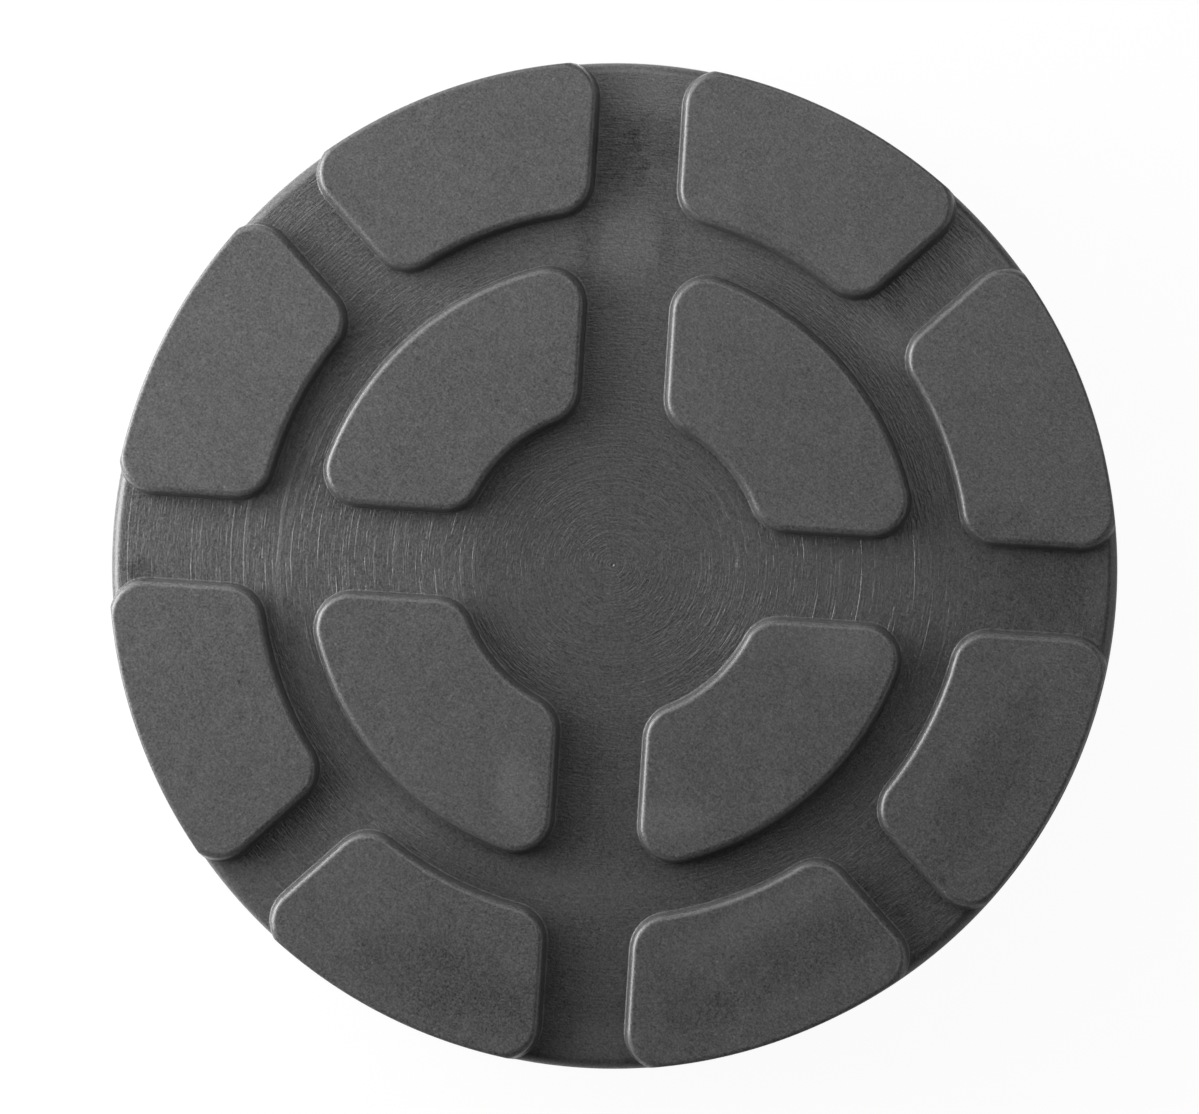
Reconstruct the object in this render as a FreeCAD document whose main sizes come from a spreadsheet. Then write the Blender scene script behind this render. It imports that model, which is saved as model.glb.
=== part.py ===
import FreeCAD, Part
import os

import Sketcher

# Lift arm rubber pad, in millimetres, +Z up. One moulded rubber disc with a tread on its upper face.
# The origin is the centre of the flat underside. Straight channels run along X and Y from rim to rim.

# Driving dimensions: name, value, what it measures. Channels and rows are measured at the floor.
DIMENSIONS = (
    ("pad_dia", 120, "outside diameter of the disc"),
    ("floor_height", 17, "underside to the floor of the channels"),
    ("tread_height", 3, "channel floor to the top of the blocks"),
    ("outer_row_dia", 83.8, "inner wall of the outer blocks"),
    ("inner_row_dia", 73, "outer wall of the inner blocks"),
    ("centre_dia", 36, "inner wall of the inner blocks, round the bare centre"),
    ("main_channel", 10, "width of the channels that cut both rows of blocks"),
    ("diagonal_channel", 6.7, "width of the channels that cut the outer row only"),
    ("wall_draft", 5, "degrees that each block wall leans back from the vertical"),
    ("corner_radius", 4.2, "upright corners of the blocks"),
    ("corner_runout", 0.5, "how far outside the disc the outer corners would run out level with the side"),
    ("top_edge_chamfer", 0.6, "top edge of the blocks along the channels"),
    ("rim_edge_chamfer", 0.3, "top edge of the outer blocks along the rim"),
    ("floor_rim_radius", 1.3, "edge of the disc where a channel runs out"),
    ("underside_chamfer", 0.5, "edge of the disc at the underside"),
    ("overcut", 1, "how far a cutting section reaches past what it cuts"),
)
CHANNELS_A_TURN = 4
DIAGONAL_TURN = 45
FULL_TURN = 360
CLOSE = 0.001

doc = FreeCAD.newDocument("lift_arm_rubber_pad")
sheet = doc.addObject("Spreadsheet::Sheet", "sizes")
for row, (name, value, meaning) in enumerate(DIMENSIONS, start=1):
    sheet.set(f"A{row}", name)
    sheet.set(f"B{row}", str(value))
    sheet.set(f"C{row}", meaning)
    sheet.setAlias(f"B{row}", name)
doc.recompute()

# Levels and slopes that several features share. The blocks start below the floor, where the rounded edge
# of the disc begins, so that the outer walls of the outer row stand on the disc's own side wall.
RIM = "sizes.pad_dia / 2"
BLANK_RIM = "sizes.pad_dia / 2 + sizes.corner_runout"
FLOOR = "sizes.floor_height"
ROOT = "sizes.floor_height - sizes.floor_rim_radius"
TOP = "sizes.floor_height + sizes.tread_height"
SLOPE = "tan(sizes.wall_draft)"
LEAN_DOWN = f"sizes.floor_rim_radius * {SLOPE}"
LEAN_UP = f"sizes.tread_height * {SLOPE}"

# The upright corners are as wide as they are given, unless a row of blocks is too narrow for two of them.
OUTER_ROW_WIDTH = f"({BLANK_RIM} - sizes.outer_row_dia / 2 - {LEAN_UP})"
INNER_ROW_WIDTH = f"(sizes.inner_row_dia / 2 - sizes.centre_dia / 2 - 2 * {LEAN_UP})"
OUTER_CORNER = f"min(sizes.corner_radius; {OUTER_ROW_WIDTH} * 0.45)"
INNER_CORNER = f"min(sizes.corner_radius; {INNER_ROW_WIDTH} * 0.45)"


def size(expression):
    """The present value of an expression of the sheet."""
    return float(sheet.evalExpression(expression))


def origin_feature(body, role):
    """One of the planes or axes of a body's own origin."""
    return next(item for item in body.Origin.OriginFeatures if item.Role == role)


def new_sketch(body, name, plane, turn=0):
    """A sketch on one of the body's own planes, turned about the plane's second axis."""
    sketch = body.newObject("Sketcher::SketchObject", name)
    sketch.AttachmentSupport = [(origin_feature(body, plane), "")]
    sketch.MapMode = "FlatFace"
    turned = FreeCAD.Rotation(FreeCAD.Vector(0, 1, 0), turn)
    sketch.AttachmentOffset = FreeCAD.Placement(FreeCAD.Vector(0, 0, 0), turned)
    return sketch


def bind(sketch, kind, where, expression):
    """Add one sized constraint and tie it to the sheet."""
    index = sketch.addConstraint(Sketcher.Constraint(kind, *where, size(expression)))
    sketch.setExpression(f"Constraints[{index}]", expression)


def draw_outline(sketch, corners):
    """Straight lines from corner to corner and back. Each corner is two expressions of the sheet."""
    points = [FreeCAD.Vector(size(across), size(up), 0) for across, up in corners]
    ends = zip(points, points[1:] + points[:1])
    lines = [sketch.addGeometry(Part.LineSegment(start, end)) for start, end in ends]
    for line, following in zip(lines, lines[1:] + lines[:1]):
        sketch.addConstraint(Sketcher.Constraint("Coincident", line, 2, following, 1))
    for line, (across, up) in zip(lines, corners):
        bind(sketch, "DistanceX", (-1, 1, line, 1), across)
        bind(sketch, "DistanceY", (-1, 1, line, 1), up)


def level_edge(height):
    """A test for an edge that lies level at a height."""
    def lies_level(edge):
        box = edge.BoundBox
        return abs(box.ZMin - height) < CLOSE and abs(box.ZMax - height) < CLOSE
    return lies_level


def channel_edge(height):
    """A test for a level edge that doesn't run along the rim."""
    lies_level = level_edge(height)
    rim = size(RIM) - size("sizes.rim_edge_chamfer")

    def borders_a_channel(edge):
        middle = edge.valueAt((edge.FirstParameter + edge.LastParameter) / 2)
        return lies_level(edge) and (middle.x ** 2 + middle.y ** 2) ** 0.5 < rim - CLOSE
    return borders_a_channel


def upright_edge(low, high):
    """A test for an edge that stands between two heights."""
    def stands(edge):
        box = edge.BoundBox
        return abs(box.ZMin - low) < CLOSE and abs(box.ZMax - high) < CLOSE
    return stands


def chosen_edges(body, passes):
    """The body's present shape and the names of its edges that pass a test."""
    doc.recompute()
    edges = enumerate(body.Tip.Shape.Edges, start=1)
    return body.Tip, [f"Edge{number}" for number, edge in edges if passes(edge)]


def round_edges(body, name, passes, radius):
    base = chosen_edges(body, passes)
    fillet = body.newObject("PartDesign::Fillet", f"{body.Name}_{name}")
    fillet.Base = base
    fillet.setExpression("Radius", radius)


def break_edges(body, name, passes, width):
    base = chosen_edges(body, passes)
    chamfer = body.newObject("PartDesign::Chamfer", f"{body.Name}_{name}")
    chamfer.Base = base
    chamfer.setExpression("Size", width)


def make_disc():
    """The disc up to the floor of the channels. Its upper edge shows where a channel runs out."""
    body = doc.addObject("PartDesign::Body", "disc")
    outline = new_sketch(body, "disc_outline", "XY_Plane")
    circle = outline.addGeometry(Part.Circle(FreeCAD.Vector(), FreeCAD.Vector(0, 0, 1), size(RIM)))
    outline.addConstraint(Sketcher.Constraint("Coincident", circle, 3, -1, 1))
    bind(outline, "Diameter", (circle,), "sizes.pad_dia")
    pad = body.newObject("PartDesign::Pad", "disc_pad")
    pad.Profile = outline
    pad.setExpression("Length", FLOOR)
    round_edges(body, "floor_rim", level_edge(size(FLOOR)), "sizes.floor_rim_radius")
    break_edges(body, "underside_rim", level_edge(0), "sizes.underside_chamfer")
    return body


def make_ring(name, corners):
    """A plain ring, still to be cut into blocks: its section turned about the axis."""
    body = doc.addObject("PartDesign::Body", name)
    section = new_sketch(body, f"{name}_section", "XZ_Plane")
    draw_outline(section, corners)
    ring = body.newObject("PartDesign::Revolution", f"{name}_ring")
    ring.Profile = section
    ring.ReferenceAxis = (origin_feature(body, "Z_Axis"), [""])
    ring.Angle = FULL_TURN
    return body


def cut_channels(body, name, width, turn=0):
    """Cut one straight channel with leaning walls from the axis outwards and repeat it round the axis."""
    low = f"{ROOT} - sizes.overcut"
    high = f"{TOP} + sizes.overcut"
    half_low = f"({width} / 2 - {LEAN_DOWN} - sizes.overcut * {SLOPE})"
    half_high = f"({width} / 2 + {LEAN_UP} + sizes.overcut * {SLOPE})"
    section = new_sketch(body, f"{body.Name}_{name}_section", "YZ_Plane", turn)
    draw_outline(section, [
        (f"-{half_low}", low),
        (half_low, low),
        (half_high, high),
        (f"-{half_high}", high),
    ])
    channel = body.newObject("PartDesign::Pocket", f"{body.Name}_{name}")
    channel.Profile = section
    channel.setExpression("Length", f"{RIM} + sizes.overcut")
    channel.Reversed = True
    repeated = body.newObject("PartDesign::PolarPattern", f"{channel.Name}_pattern")
    repeated.Originals = [channel]
    repeated.Axis = (origin_feature(body, "Z_Axis"), [""])
    repeated.Angle = FULL_TURN
    repeated.Occurrences = CHANNELS_A_TURN
    body.Tip = repeated


def trim_side(body):
    """Turn the blocks down to the side of the disc and break their top edge along the rim."""
    low = f"{ROOT} - sizes.overcut"
    high = f"{TOP} + sizes.overcut"
    clear = f"{BLANK_RIM} + sizes.overcut"
    section = new_sketch(body, f"{body.Name}_side_section", "XZ_Plane")
    draw_outline(section, [
        (RIM, low),
        (clear, low),
        (clear, high),
        (f"{RIM} - sizes.rim_edge_chamfer", high),
        (f"{RIM} - sizes.rim_edge_chamfer", TOP),
        (RIM, f"{TOP} - sizes.rim_edge_chamfer"),
    ])
    side = body.newObject("PartDesign::Groove", f"{body.Name}_side")
    side.Profile = section
    side.ReferenceAxis = (origin_feature(body, "Z_Axis"), [""])
    side.Angle = FULL_TURN


def make_outer_row():
    """Eight blocks, flush with the side of the disc, cut by the straight and the diagonal channels."""
    body = make_ring("outer_row", [
        (f"sizes.outer_row_dia / 2 - {LEAN_DOWN}", ROOT),
        (BLANK_RIM, ROOT),
        (BLANK_RIM, TOP),
        (f"sizes.outer_row_dia / 2 + {LEAN_UP}", TOP),
    ])
    cut_channels(body, "main", "sizes.main_channel")
    cut_channels(body, "diagonal", "sizes.diagonal_channel", DIAGONAL_TURN)
    round_edges(body, "corners", upright_edge(size(ROOT), size(TOP)), OUTER_CORNER)
    trim_side(body)
    break_edges(body, "tops", channel_edge(size(TOP)), "sizes.top_edge_chamfer")
    return body


def make_inner_row():
    """Four blocks between the bare centre and the outer row, cut by the straight channels only."""
    body = make_ring("inner_row", [
        (f"sizes.centre_dia / 2 - {LEAN_DOWN}", ROOT),
        (f"sizes.inner_row_dia / 2 + {LEAN_DOWN}", ROOT),
        (f"sizes.inner_row_dia / 2 - {LEAN_UP}", TOP),
        (f"sizes.centre_dia / 2 + {LEAN_UP}", TOP),
    ])
    cut_channels(body, "main", "sizes.main_channel")
    round_edges(body, "corners", upright_edge(size(ROOT), size(TOP)), INNER_CORNER)
    break_edges(body, "tops", channel_edge(size(TOP)), "sizes.top_edge_chamfer")
    return body


# The pad itself: disc and blocks moulded in one.
lift_pad = doc.addObject("Part::MultiFuse", "lift_pad")
lift_pad.Label = "lift_pad"
lift_pad.Shapes = [make_disc(), make_outer_row(), make_inner_row()]
lift_pad.Refine = True
lift_pad.Placement = FreeCAD.Placement(FreeCAD.Vector(0, 0, 0), FreeCAD.Rotation())
doc.recompute()

# Nothing is written unless every object is sound.
for item in doc.Objects:
    if "Invalid" in item.State or "Error" in item.State:
        raise ValueError(f"{item.Label} failed: {item.State}")
if lift_pad.Shape.isNull() or not lift_pad.Shape.isValid():
    raise ValueError("lift_pad has no valid shape")
if len(lift_pad.Shape.Solids) != 1:
    raise ValueError("lift_pad is not one solid")

os.makedirs("parts", exist_ok=True)
for node in (lift_pad,):
    node.Shape.exportStep(f"parts/{node.Label}.step")
    print(node.Label, "volume", round(node.Shape.Volume), "faces", len(node.Shape.Faces))
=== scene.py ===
import math

import bmesh
import bpy
from mathutils import Matrix, Vector


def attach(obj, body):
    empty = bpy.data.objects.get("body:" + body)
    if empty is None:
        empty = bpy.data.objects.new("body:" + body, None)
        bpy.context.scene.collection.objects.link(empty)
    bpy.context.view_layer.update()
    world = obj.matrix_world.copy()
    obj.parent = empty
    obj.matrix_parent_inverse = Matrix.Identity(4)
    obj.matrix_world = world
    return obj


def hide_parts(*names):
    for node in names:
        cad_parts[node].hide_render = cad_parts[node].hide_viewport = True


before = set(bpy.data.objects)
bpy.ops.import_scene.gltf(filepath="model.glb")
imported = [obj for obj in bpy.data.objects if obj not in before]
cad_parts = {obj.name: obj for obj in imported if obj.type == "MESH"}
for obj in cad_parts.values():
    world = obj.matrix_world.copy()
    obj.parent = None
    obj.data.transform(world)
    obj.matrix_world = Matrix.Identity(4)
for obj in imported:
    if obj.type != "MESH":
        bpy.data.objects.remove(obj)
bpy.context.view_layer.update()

# The disc under the tread, the body of the moulding. Solid black rubber, one piece with the blocks.
# Its upper face was turned flat after moulding, and that face is the floor of all the channels. The edge
# is rounded at the top, where a channel runs out, and only just broken at the underside.
MM = 0.001
pad_radius = 60 * MM
floor_height = 17 * MM
floor_rim_radius = 1.3 * MM
underside_radius = 0.6 * MM
disc_facets = 360
underside_edge_facets = 5
floor_edge_facets = 10

pad_mesh = bmesh.new()


def spin_vertex(mesh, start, centre, axis, angle, steps):
    """Spin one vertex about a centre. Returns its copies in order, the vertex itself first."""
    before = len(mesh.verts)
    mesh.verts.ensure_lookup_table()
    bmesh.ops.spin(
        mesh,
        geom=[start],
        cent=centre,
        axis=axis,
        angle=angle,
        steps=steps,
        use_merge=False,
    )
    mesh.verts.ensure_lookup_table()
    return [start] + [mesh.verts[i] for i in range(before, len(mesh.verts))]


underside_start = pad_mesh.verts.new((pad_radius - underside_radius, 0, 0))
underside_edge = spin_vertex(
    pad_mesh,
    underside_start,
    (pad_radius - underside_radius, 0, underside_radius),
    (0, -1, 0),
    math.radians(90),
    underside_edge_facets,
)
floor_start = pad_mesh.verts.new((pad_radius, 0, floor_height - floor_rim_radius))
floor_edge = spin_vertex(
    pad_mesh,
    floor_start,
    (pad_radius - floor_rim_radius, 0, floor_height - floor_rim_radius),
    (0, -1, 0),
    math.radians(90),
    floor_edge_facets,
)
underside_middle = pad_mesh.verts.new((0, 0, 0))
floor_middle = pad_mesh.verts.new((0, 0, floor_height))
pad_mesh.edges.new((underside_middle, underside_edge[0]))
pad_mesh.edges.new((underside_edge[-1], floor_edge[0]))
pad_mesh.edges.new((floor_edge[-1], floor_middle))
bmesh.ops.spin(
    pad_mesh,
    geom=pad_mesh.verts[:] + pad_mesh.edges[:],
    cent=(0, 0, 0),
    axis=(0, 0, 1),
    angle=math.radians(360),
    steps=disc_facets,
    use_merge=True,
)
bmesh.ops.remove_doubles(pad_mesh, verts=pad_mesh.verts[:], dist=0.0001 * MM)

# The tread blocks, twelve pads of the same rubber that stand on the disc. Each block's outline is drawn
# with straight sides along its channels and arcs about the axis, and its wall leans back a little, so
# that the moulding leaves the mould. The foot runs into the floor and the top edge is rounded over.
tread_height = 3 * MM
wall_lean = math.radians(5)
corner_radius = 4.5 * MM
foot_fillet = 0.3 * MM
foot_sink = 0.004 * MM
foot_facets = 5
top_rounding = 0.85 * MM
top_facets = 9
rim_rounding = 0.4 * MM
main_half_width = 5 * MM
diagonal_half_width = 3.35 * MM
block_root = floor_height - floor_rim_radius
block_top = floor_height + tread_height
rim_corner_facets = 14
inner_corner_facets = 10


def wall_section():
    """Inset of the wall, flare of its foot and height of each point of its section, from the lowest up.

    The foot's fillet is sunk a hair into the floor, so that the two cross in a clean line.
    """
    foot_x = foot_fillet * (math.tan(wall_lean) - 1 / math.cos(wall_lean))
    points = [(0.0, -foot_x, block_root)]
    for step in range(foot_facets + 1):
        angle = math.radians(-90) + (math.radians(90) - wall_lean) * step / foot_facets
        height = floor_height + foot_fillet * (1 + math.sin(angle)) - foot_sink
        inset = max(0.0, (height - floor_height) * math.tan(wall_lean))
        points.append((inset, inset - foot_x - foot_fillet * math.cos(angle), height))
    top_x = (tread_height - top_rounding) * math.tan(wall_lean) + top_rounding / math.cos(wall_lean)
    for step in range(top_facets + 1):
        angle = math.radians(180) - wall_lean - (math.radians(90) - wall_lean) * step / top_facets
        height = block_top - top_rounding + top_rounding * math.sin(angle)
        points.append((top_x + top_rounding * math.cos(angle), 0.0, height))
    return points


def rim_inset(height):
    """How far the rounded top edge along the rim has drawn in at a height."""
    rise = max(0.0, height - (block_top - rim_rounding))
    return rim_rounding - math.sqrt(max(0.0, rim_rounding ** 2 - rise ** 2))


def polar(radius, angle):
    """A point in plan, from its radius and angle."""
    return Vector((radius * math.cos(angle), radius * math.sin(angle), 0))


def corner_arc(centre, radius, side_angle, end):
    """Centre, radius and end angle of the arc that leaves a block's side and ends at a point of the rim."""
    outward = polar(1, side_angle)
    start = centre + radius * outward
    away = start - end
    radius = away.length_squared / (2 * away.dot(outward))
    centre = start - radius * outward
    return centre, radius, math.atan2(end.y - centre.y, end.x - centre.x)


def draw_level(mesh, block, inset, flare, height):
    """One closed outline of a block at a height, drawn from the foot line moved in by the inset.

    The flare of the foot moves it out again, but dies away towards the rim, where the floor rounds off.
    """
    radius = corner_radius - inset + flare
    inner = block["inner_radius"] + inset - flare
    rim_flare = 0 if block["ends_at_rim"] else flare
    rim_radius = corner_radius - inset + rim_flare
    outer = min(block["outer_radius"] - inset + rim_flare, pad_radius - rim_inset(height))
    inner_reach = block["inner_radius"] + corner_radius
    outer_reach = block["outer_radius"] - corner_radius
    lean = (outer ** 2 - outer_reach ** 2 - rim_radius ** 2) / (2 * outer_reach * rim_radius)
    run_out = math.acos(min(1.0, lean))
    near, far = block["near_half_width"] + corner_radius, block["far_half_width"] + corner_radius
    sector = block["sector"]
    outer_near = math.asin(near / outer_reach)
    outer_far = sector - math.asin(far / outer_reach)
    inner_far = sector - math.asin(far / inner_reach)
    inner_near = math.asin(near / inner_reach)
    quarter = math.radians(90)
    swing = math.asin(rim_radius * math.sin(run_out) / outer)
    inner_far_centre = polar(inner_reach, inner_far)
    inner_near_centre = polar(inner_reach, inner_near)
    near_centre, near_radius, near_end = corner_arc(
        polar(outer_reach, outer_near), radius, -quarter, polar(outer, outer_near - swing))
    far_centre, far_radius, far_end = corner_arc(
        polar(outer_reach, outer_far), radius, sector + quarter, polar(outer, outer_far + swing))
    # Centre, radius, start and end angle, facets, and whether a straight side leads up to the arc.
    arcs = (
        (near_centre, near_radius, -quarter, near_end, rim_corner_facets, True),
        (Vector(), outer, outer_near - swing, outer_far + swing, block["outer_facets"], False),
        (far_centre, far_radius, far_end, sector + quarter, rim_corner_facets, False),
        (inner_far_centre, radius, sector + quarter, inner_far + 2 * quarter, inner_corner_facets, True),
        (Vector(), inner, inner_far, inner_near, block["inner_facets"], False),
        (inner_near_centre, radius, inner_near + 2 * quarter, 3 * quarter, inner_corner_facets, False),
    )
    outline = []
    for centre, arc_radius, start, end, facets, after_side in arcs:
        centre = centre + Vector((0, 0, height))
        if after_side:
            outline.append(mesh.verts.new(centre + polar(arc_radius, start)))
        outline += spin_vertex(mesh, outline[-1], centre, (0, 0, 1), end - start, facets)[1:]
    for vertex, following in zip(outline, outline[1:] + outline[:1]):
        if not mesh.edges.get((vertex, following)):
            mesh.edges.new((vertex, following))
    return [mesh.edges.get(pair) for pair in zip(outline, outline[1:] + outline[:1])]


def raise_block(block):
    """Draw the block's outline at every point of its wall section and bridge one to the next."""
    mesh = bmesh.new()
    levels = []
    for inset, flare, height in wall_section():
        levels.append(draw_level(mesh, block, inset, flare, height))
    for lower, upper in zip(levels, levels[1:]):
        bmesh.ops.bridge_loops(mesh, edges=lower + upper)
    bmesh.ops.holes_fill(mesh, edges=levels[0], sides=0)
    bmesh.ops.holes_fill(mesh, edges=levels[-1], sides=0)
    bmesh.ops.recalc_face_normals(mesh, faces=mesh.faces[:])
    return mesh


# Radii and half widths are those of the foot lines at the floor. A sector reaches from the middle of one
# channel to the middle of the next, and the outer blocks are drawn past the rim and end on it.
inner_block = {
    "inner_radius": 18 * MM,
    "outer_radius": 36.5 * MM,
    "near_half_width": main_half_width,
    "far_half_width": main_half_width,
    "sector": math.radians(90),
    "ends_at_rim": False,
    "outer_facets": 40,
    "inner_facets": 24,
}
outer_block = {
    "inner_radius": 41.9 * MM,
    "outer_radius": 60.5 * MM,
    "near_half_width": main_half_width,
    "far_half_width": diagonal_half_width,
    "sector": math.radians(45),
    "ends_at_rim": True,
    "outer_facets": 30,
    "inner_facets": 24,
}
tread_mesh = raise_block(outer_block)

# One outer block and its mirror image across the diagonal channel, one inner block, and a turn of four.
bmesh.ops.mirror(
    tread_mesh,
    geom=tread_mesh.verts[:] + tread_mesh.edges[:] + tread_mesh.faces[:],
    matrix=Matrix.Rotation(math.radians(45), 4, "Z"),
    axis="X",
    merge_dist=0,
)
inner_mesh = raise_block(inner_block)
inner_data = bpy.data.meshes.new("inner_block")
inner_mesh.to_mesh(inner_data)
inner_mesh.free()
tread_mesh.from_mesh(inner_data)
bpy.data.meshes.remove(inner_data)
bmesh.ops.spin(
    tread_mesh,
    geom=tread_mesh.verts[:] + tread_mesh.edges[:] + tread_mesh.faces[:],
    cent=(0, 0, 0),
    axis=(0, 0, 1),
    angle=math.radians(270),
    steps=3,
    use_duplicate=True,
)
bmesh.ops.recalc_face_normals(tread_mesh, faces=tread_mesh.faces[:])
bmesh.ops.recalc_face_normals(pad_mesh, faces=pad_mesh.faces[:])


def place_mesh(name, mesh):
    """Put a finished mesh in the scene as an object at the origin."""
    data = bpy.data.meshes.new(name)
    mesh.to_mesh(data)
    mesh.free()
    piece = bpy.data.objects.new(name, data)
    bpy.context.collection.objects.link(piece)
    return piece


# Disc and blocks made one closed skin, as they come out of the mould, with the slivers welded away.
weld = 0.002 * MM
sliver = 0.0005 * MM
sharp_angle = math.radians(28)
pad = place_mesh("tread_pad", pad_mesh)
tread = place_mesh("tread_blocks", tread_mesh)
moulding = pad.modifiers.new("moulding", "BOOLEAN")
moulding.operation = "UNION"
moulding.solver = "EXACT"
moulding.object = tread
bpy.context.view_layer.update()
joined = bpy.data.meshes.new_from_object(pad.evaluated_get(bpy.context.evaluated_depsgraph_get()))
pad.modifiers.clear()
pad.data = joined
bpy.data.objects.remove(tread)
skin = bmesh.new()
skin.from_mesh(pad.data)
bmesh.ops.remove_doubles(skin, verts=skin.verts[:], dist=weld)
bmesh.ops.dissolve_degenerate(skin, dist=sliver, edges=skin.edges[:])
bmesh.ops.recalc_face_normals(skin, faces=skin.faces[:])
skin.to_mesh(pad.data)
skin.free()
pad.data.shade_smooth()
pad.data.set_sharp_from_angle(angle=sharp_angle)
shading = pad.modifiers.new("shading", "WEIGHTED_NORMAL")
shading.keep_sharp = True
shading.weight = 100

# The rubber: black, matt and a little mottled, with a fine grain from the mould and pale specks in it.
# The floor of the channels and the bare centre carry rings left by turning, irregular and broken, and
# there are a few smudges and drips where something has run and dried, and patches of painted light and
# shade.
rubber = bpy.data.materials.new("rubber")
rubber.use_nodes = True
nodes = rubber.node_tree.nodes
links = rubber.node_tree.links
shader = nodes["Principled BSDF"]
rubber_tone = 0.06
floor_finish_top = 17.01
block_finish_root = 17.06
floor_finish_edge = 58.6


def feed(socket, value):
    """Link an output into a socket, or set the socket to a plain value."""
    if isinstance(value, bpy.types.NodeSocket):
        links.new(value, socket)
    else:
        socket.default_value = value


def calculate(operation, first, second=0.0, third=0.0):
    """The result of one Math node."""
    node = nodes.new("ShaderNodeMath")
    node.operation = operation
    for socket, value in zip(node.inputs, (first, second, third)):
        feed(socket, value)
    return node.outputs[0]


def combine_vectors(operation, first, second=(0, 0, 0)):
    """The vector that one Vector Math node puts out."""
    node = nodes.new("ShaderNodeVectorMath")
    node.operation = operation
    feed(node.inputs[0], first)
    feed(node.inputs[1], second)
    return node.outputs["Vector"]


def fade(value, low, high, at_low=0.0, at_high=1.0):
    """A soft step from one value to another between two limits."""
    node = nodes.new("ShaderNodeMapRange")
    node.interpolation_type = "SMOOTHSTEP"
    feed(node.inputs["Value"], value)
    for name, setting in (("From Min", low), ("From Max", high), ("To Min", at_low), ("To Max", at_high)):
        feed(node.inputs[name], setting)
    return node.outputs["Result"]


def grain(vector, scale, detail=0.0, roughness=0.5):
    """Noise about a middle of 0.5, with features one over scale in size."""
    node = nodes.new("ShaderNodeTexNoise")
    feed(node.inputs["Vector"], vector)
    node.inputs["Scale"].default_value = scale
    node.inputs["Detail"].default_value = detail
    node.inputs["Roughness"].default_value = roughness
    return node.outputs["Fac"]


def about_nothing(value, amount):
    """A noise value as a swing to both sides of nothing."""
    return calculate("MULTIPLY", calculate("SUBTRACT", value, 0.5), amount)


# Places in millimetres, the distance from the axis, and what is floor: all that lies at its height or
# below, inside the rounded edge of the disc.
coordinates = nodes.new("ShaderNodeTexCoord").outputs["Object"]
place = combine_vectors("DIVIDE", coordinates, (MM, MM, MM))
parts = nodes.new("ShaderNodeSeparateXYZ")
links.new(place, parts.inputs[0])
flat_place = combine_vectors("MULTIPLY", place, (1, 1, 0))
reach = nodes.new("ShaderNodeVectorMath")
reach.operation = "LENGTH"
links.new(flat_place, reach.inputs[0])
from_axis = reach.outputs["Value"]
on_floor = calculate(
    "MULTIPLY",
    fade(parts.outputs["Z"], floor_finish_top, block_finish_root, 1.0, 0.0),
    fade(from_axis, floor_finish_edge, floor_finish_edge + 0.6, 1.0, 0.0),
)


def ring_place(along, across):
    """Coordinates that follow the turning: stretched along the rings and fine across them."""
    upright = nodes.new("ShaderNodeCombineXYZ")
    links.new(calculate("MULTIPLY", from_axis, across), upright.inputs["Z"])
    sideways = combine_vectors("MULTIPLY", flat_place, (along, along, 0))
    return combine_vectors("ADD", sideways, upright.outputs[0])


# Turning marks: a close finish of short lines all over the floor, and single ridges that stand out of it
# as broken rings. They are strongest to the left, fewer to the right and faint in the other two channels.
off_side = calculate("ABSOLUTE", parts.outputs["Y"])
to_the_sides = fade(calculate("DIVIDE", off_side, from_axis), 0.8, 0.96, 1.0, 0.45)
close_marks = about_nothing(grain(ring_place(0.7, 3.5), 1.0, 1.0, 0.8), 1.0)
broken = fade(grain(ring_place(0.5, 1.6), 1.0, 1.0, 0.6), 0.42, 0.54)
close_ridges = calculate("MULTIPLY", fade(grain(ring_place(0.06, 3.4), 1.0), 0.48, 0.66), broken)
run_on = fade(grain(ring_place(0.14, 0.8), 1.0), 0.44, 0.54)
long_ridges = calculate("MULTIPLY", fade(grain(ring_place(0.035, 2.2), 1.0), 0.63, 0.70), run_on)
ridges = calculate("MAXIMUM", calculate("MULTIPLY", close_ridges, 0.6), long_ridges)
to_the_left = calculate(
    "MULTIPLY",
    fade(parts.outputs["X"], -24, -13, 1.0, 0.3),
    fade(parts.outputs["X"], -50, -40, 0.5, 1.0),
)
to_the_right = calculate(
    "MULTIPLY",
    fade(parts.outputs["X"], 7, 13, 0.0, 0.6),
    fade(parts.outputs["X"], 36, 44, 1.0, 0.0),
)
ring_depth = calculate("ADD", to_the_left, to_the_right)
ring_depth = calculate("MULTIPLY", ring_depth, fade(off_side, 9, 18, 1.0, 0.35))
ring_depth = calculate("MULTIPLY", ring_depth, on_floor)
ridges = calculate("MULTIPLY", ridges, ring_depth)
close_depth = calculate("MULTIPLY", fade(from_axis, 16, 30, 0.62, 0.5), to_the_sides)
close_depth = calculate("MULTIPLY", close_depth, on_floor)
ring_height = calculate("MULTIPLY", close_marks, close_depth)
ring_height = calculate("ADD", ring_height, calculate("MULTIPLY", ridges, 0.3))
pip = fade(from_axis, 0.08, 0.24, -0.7, 0.0)
ring_height = calculate("ADD", ring_height, calculate("MULTIPLY", pip, on_floor))

# Mould grain: fine and less fine together, on axes that lie askew to the pad, so that no lattice shows.
askew = nodes.new("ShaderNodeMapping")
askew.inputs["Rotation"].default_value = (0.6, 0.5, 0.7)
links.new(place, askew.inputs["Vector"])
askew_place = askew.outputs[0]
mould_grain = calculate(
    "ADD",
    about_nothing(grain(askew_place, 4.6), 2.7),
    calculate(
        "ADD",
        about_nothing(grain(askew_place, 2.4), 1.15),
        about_nothing(grain(askew_place, 1.2), 0.4),
    ),
)

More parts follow.
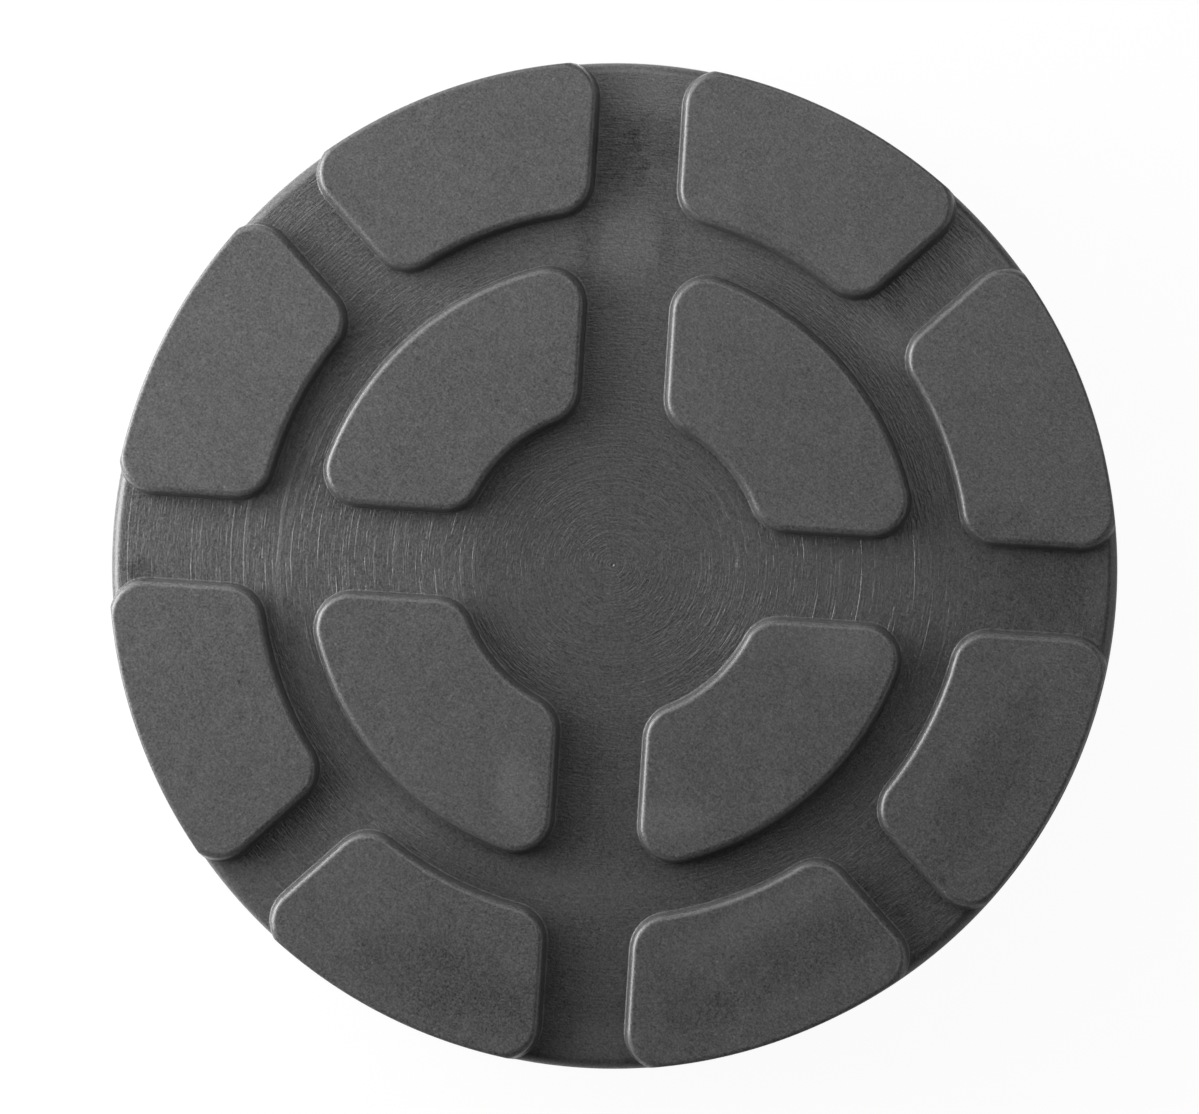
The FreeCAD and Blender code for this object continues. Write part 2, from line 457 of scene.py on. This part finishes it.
# Pale specks, a few to the square centimetre.
speck_cells = nodes.new("ShaderNodeTexVoronoi")
speck_cells.feature = "F1"
links.new(askew_place, speck_cells.inputs["Vector"])
speck_cells.inputs["Scale"].default_value = 0.9
speck_pick = nodes.new("ShaderNodeSeparateColor")
links.new(speck_cells.outputs["Color"], speck_pick.inputs[0])
specks = calculate(
    "MULTIPLY",
    fade(speck_cells.outputs["Distance"], 0.09, 0.16, 1.0, 0.0),
    fade(speck_pick.outputs[0], 0.55, 0.95),
)

# Smudges and dried drips on the tread, and among them patches of painted light and shade: place and half
# sizes in the plan in millimetres, turn in degrees, and how much paler or darker they leave the rubber. The
# side and the underside stay plain.
smudges_and_painted_light = (
    (46, -23, 13, 3.6, 64, -0.22),
    (26, -45, 10, 3.5, 30, -0.22),
    (13, -51, 5, 4, 10, -0.16),
    (22, -39.5, 11, 1.8, 30, 0.2),
    (-16, -51, 12, 4.5, -18, -0.2),
    (-9.7, -27.5, 5, 2.5, 100, 0.3),
    (8.5, -29.9, 5, 2.5, 10, 0.26),
    (28.4, -8.6, 4, 3, 0, 0.24),
    (45.8, 8.2, 4, 2, 10, -0.16),
    (9.6, 42.8, 3, 5, 0, 0.12),
    (26, 36.7, 5, 2.4, -40, 0.12),
    (22, 0, 15, 8, 0, 0.16),
    # Painted light: the back channel's end at the rim, paler where it sees the white room.
    (-0.1, 57, 6, 3.2, 0, 0.35),
    # Painted shadow: the dark patch at the left of the back channel, where the block beside it shades the
    # floor.
    (-2.1, 49.2, 3.4, 4.5, 0, -0.5),
    (2.3, 50.6, 3, 3, 0, -0.3),
    (-0.8, 38.6, 3.6, 5, 0, 0.3),
    (-5.2, 38.4, 1.5, 4, 0, -0.25),
    (4.2, 39, 1.2, 4, 0, -0.2),
    (30.3, 28.7, 4, 3, -45, 0.28),
    # Painted light: the diagonal channel's end at the rim, to the back and right.
    (40.3, 40, 3, 2, -45, 0.4),
    (31.7, 33.5, 1.5, 3, 0, -0.25),
    (-0.1, -38.8, 8, 3, 0, 0.18),
    # Painted light: the front channel's floor near the rim.
    (2.2, -56.5, 5, 2.2, 0, 0.22),
    (51.5, 1.2, 6.5, 5.5, 0, -0.25),
    # Painted light: the right channel's end at the rim.
    (57.6, 1, 1.4, 4, 0, 0.2),
    (-55.9, -4, 1.4, 1.8, 0, -0.35),
)
middling = grain(askew_place, 0.4, 2.0, 0.7)
ragged = calculate(
    "MULTIPLY",
    about_nothing(middling, 1.0),
    calculate("MULTIPLY_ADD", on_floor, 1.2, 0.9),
)


def patch_mask(x, y, half_width, half_height, turn):
    """One within the outline of a patch, smudge and painted light alike, nothing outside it, with a soft
    ragged edge between.
    """
    local = nodes.new("ShaderNodeMapping")
    local.vector_type = "TEXTURE"
    links.new(flat_place, local.inputs["Vector"])
    local.inputs["Location"].default_value = (x, y, 0)
    local.inputs["Rotation"].default_value = (0, 0, math.radians(turn))
    local.inputs["Scale"].default_value = (half_width, half_height, 1)
    away = nodes.new("ShaderNodeVectorMath")
    away.operation = "LENGTH"
    links.new(local.outputs[0], away.inputs[0])
    return fade(calculate("ADD", away.outputs["Value"], ragged), 0.5, 1.35, 1.0, 0.0)


# Tone: broad mottling, finer mottling, grain, specks, ridges rubbed pale, and the smudges, with patches of
# painted light and shade among them. The floor is darker than the block tops, and lighter to the left and
# towards the back: this is partly the turned rubber's own tone and partly painted shade, lightest towards
# the lamps to the left and behind.
broad = grain(askew_place, 0.075, 2.0, 0.55)
tone = about_nothing(broad, 0.3)
tone = calculate("ADD", tone, about_nothing(middling, 0.25))
tone = calculate("ADD", tone, calculate("MULTIPLY", mould_grain, 0.49))
tone = calculate("ADD", tone, calculate("MULTIPLY", specks, 0.6))
tone = calculate("ADD", tone, calculate("MULTIPLY", ridges, 0.45))
dirt_and_painted_light = 0.0
# Smudges and drips, and the patches of painted light and shade, are added into one layer.
for x, y, half_width, half_height, turn, amount in smudges_and_painted_light:
    dirt_and_painted_light = calculate("MULTIPLY_ADD", patch_mask(x, y, half_width, half_height, turn), amount, dirt_and_painted_light)
tone = calculate("MULTIPLY_ADD", dirt_and_painted_light, fade(parts.outputs["Z"], 14.5, 16.0), tone)
tone = calculate("MULTIPLY", calculate("ADD", tone, 1.0), rubber_tone)
on_blocks = fade(parts.outputs["Z"], floor_finish_top, block_finish_root)
# Painted shadow: to the left, the floor beside the blocks next to the left channel is darkened where they
# shade it.
painted_shade_beside_left = calculate("MAXIMUM", fade(off_side, 6, 11, 1.0, 0.87), fade(off_side, 20, 30))
# Painted shade: the floor is darkened away from the lamps, least to the left and towards the back.
floor_tone_and_painted_shade = calculate(
    "MAXIMUM",
    calculate("MULTIPLY", fade(parts.outputs["X"], -22, -12, 0.94, 0.74), painted_shade_beside_left),
    fade(parts.outputs["Y"], 8, 42, 0.74, 0.9),
)
tone = calculate("MULTIPLY", tone, calculate("MAXIMUM", on_blocks, floor_tone_and_painted_shade))
colour = nodes.new("ShaderNodeCombineColor")
for channel in colour.inputs[:3]:
    links.new(tone, channel)
links.new(colour.outputs[0], shader.inputs["Base Color"])

# Half matt, a little uneven, with the mould grain under the turning marks in the relief.
roughness = calculate("ADD", 0.35, about_nothing(middling, 0.1))
links.new(roughness, shader.inputs["Roughness"])

grain_bump = nodes.new("ShaderNodeBump")
grain_bump.inputs["Strength"].default_value = 1.0
grain_bump.inputs["Distance"].default_value = 0.006 * MM
links.new(mould_grain, grain_bump.inputs["Height"])
ring_bump = nodes.new("ShaderNodeBump")
ring_bump.inputs["Strength"].default_value = 1.0
ring_bump.inputs["Distance"].default_value = 0.12 * MM
links.new(ring_height, ring_bump.inputs["Height"])
links.new(grain_bump.outputs[0], ring_bump.inputs["Normal"])
links.new(ring_bump.outputs[0], shader.inputs["Normal"])

pad.data.materials.clear()
pad.data.materials.append(rubber)
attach(pad, "root")
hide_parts("lift_pad")

# The studio: a white table and backdrop under soft light, most of it from the left. The table lies a hair
# under the pad, and a camera below it sees through it.
bpy.ops.mesh.primitive_plane_add(size=3, location=(0, 0, -0.05 * MM))
floor = bpy.context.object
floor.name = "studio_floor"
paper = bpy.data.materials.new("studio_paper")
paper.use_nodes = True
paper_nodes = paper.node_tree.nodes
paper_links = paper.node_tree.links
paper_shader = paper_nodes["Principled BSDF"]
paper_shader.inputs["Base Color"].default_value = (0.9, 0.9, 0.9, 1)
paper_shader.inputs["Roughness"].default_value = 0.9
paper_shader.inputs["Specular IOR Level"].default_value = 0.2
glow = paper_nodes.new("ShaderNodeEmission")
glow.inputs["Strength"].default_value = 1.0
rays = paper_nodes.new("ShaderNodeLightPath")
share = paper_nodes.new("ShaderNodeMath")
share.operation = "MULTIPLY"
share.inputs[1].default_value = 0.95
blend = paper_nodes.new("ShaderNodeMixShader")
paper_links.new(rays.outputs["Is Camera Ray"], share.inputs[0])
paper_links.new(share.outputs[0], blend.inputs[0])
paper_links.new(paper_shader.outputs[0], blend.inputs[1])
paper_links.new(glow.outputs[0], blend.inputs[2])
facing = paper_nodes.new("ShaderNodeNewGeometry")
from_below = paper_nodes.new("ShaderNodeMath")
from_below.operation = "MULTIPLY"
paper_links.new(facing.outputs["Backfacing"], from_below.inputs[0])
paper_links.new(rays.outputs["Is Camera Ray"], from_below.inputs[1])
clear = paper_nodes.new("ShaderNodeBsdfTransparent")
paper_side = paper_nodes.new("ShaderNodeMixShader")
paper_links.new(from_below.outputs[0], paper_side.inputs[0])
paper_links.new(blend.outputs[0], paper_side.inputs[1])
paper_links.new(clear.outputs[0], paper_side.inputs[2])
paper_links.new(paper_side.outputs[0], paper_nodes["Material Output"].inputs["Surface"])
floor.data.materials.append(paper)

# The room round the table: white to the camera, and nearly dark to the pad, which the lamps light.
world = bpy.data.worlds.new("studio")
bpy.context.scene.world = world
world.use_nodes = True
sky_nodes = world.node_tree.nodes
sky_links = world.node_tree.links
sky = sky_nodes["Background"]
sky.inputs["Color"].default_value = (1, 1, 1, 1)
sky.inputs["Strength"].default_value = 0.02
seen_sky = sky_nodes.new("ShaderNodeBackground")
seen_sky.inputs["Color"].default_value = (1, 1, 1, 1)
seen_sky.inputs["Strength"].default_value = 1.0
sky_rays = sky_nodes.new("ShaderNodeLightPath")
sky_blend = sky_nodes.new("ShaderNodeMixShader")
sky_links.new(sky_rays.outputs["Is Camera Ray"], sky_blend.inputs[0])
sky_links.new(sky.outputs[0], sky_blend.inputs[1])
sky_links.new(seen_sky.outputs[0], sky_blend.inputs[2])
sky_links.new(sky_blend.outputs[0], sky_nodes["World Output"].inputs["Surface"])

# The camera looks almost straight down. Angles are given in the photograph, counter-clockwise from its
# right, and the pad lies turned a little clockwise in it.
pad_turn = math.radians(3.6)
camera_tilt = math.radians(3.4)
camera_side = math.radians(-27) + pad_turn
camera_distance = 1.3
frame_width = 0.14255
camera_data = bpy.data.cameras.new("camera")
camera = bpy.data.objects.new("camera", camera_data)
bpy.context.collection.objects.link(camera)
camera_data.sensor_width = 36
camera_data.lens = camera_data.sensor_width * camera_distance / frame_width
right = polar(1, pad_turn)
up = polar(1, pad_turn + math.radians(90))
aim = Vector((0, 0, block_top)) - 1.40 * MM * right + 0.88 * MM * up
outward = math.sin(camera_tilt) * polar(1, camera_side) + math.cos(camera_tilt) * Vector((0, 0, 1))
camera.location = aim + camera_distance * outward
across = (up.cross(outward)).normalized()
above = outward.cross(across)
camera.matrix_world = Matrix((
    (across.x, above.x, outward.x, camera.location.x),
    (across.y, above.y, outward.y, camera.location.y),
    (across.z, above.z, outward.z, camera.location.z),
    (0, 0, 0, 1),
))
bpy.context.scene.camera = camera
bpy.context.scene.view_settings.view_transform = "Standard"

# Large soft lamps low over the table all round, and one higher up behind, to the right. The left ones are
# the strongest and draw the bright lines on the walls that face them.


def hang_softbox(name, direction, rise, distance, width, height, power):
    """A rectangular soft lamp that faces the pad, at an angle of the photograph and a rise from level."""
    lamp_data = bpy.data.lights.new(name, "AREA")
    lamp_data.shape = "RECTANGLE"
    lamp_data.size = width
    lamp_data.size_y = height
    lamp_data.energy = power
    lamp = bpy.data.objects.new(name, lamp_data)
    bpy.context.collection.objects.link(lamp)
    aside = math.cos(math.radians(rise)) * polar(1, math.radians(direction) + pad_turn)
    lamp.location = distance * (aside + math.sin(math.radians(rise)) * Vector((0, 0, 1)))
    lamp.rotation_euler = lamp.location.to_track_quat("Z", "Y").to_euler()


hang_softbox("left", 170, 20, 0.28, 0.25, 0.16, 1.50)
hang_softbox("back_left", 155, 35, 0.30, 0.40, 0.30, 0.46)
hang_softbox("back_left_low", 137, 30, 0.28, 0.36, 0.30, 0.60)
hang_softbox("back", 90, 12, 0.5, 0.5, 0.2, 0.25)
hang_softbox("back_right_high", 60, 62, 0.5, 0.40, 0.35, 0.74)
hang_softbox("right", 0, 14, 0.5, 0.5, 0.35, 0.50)
hang_softbox("front_right", 315, 12, 0.5, 0.4, 0.3, 0.12)
hang_softbox("front", 260, 12, 0.5, 0.5, 0.3, 0.20)
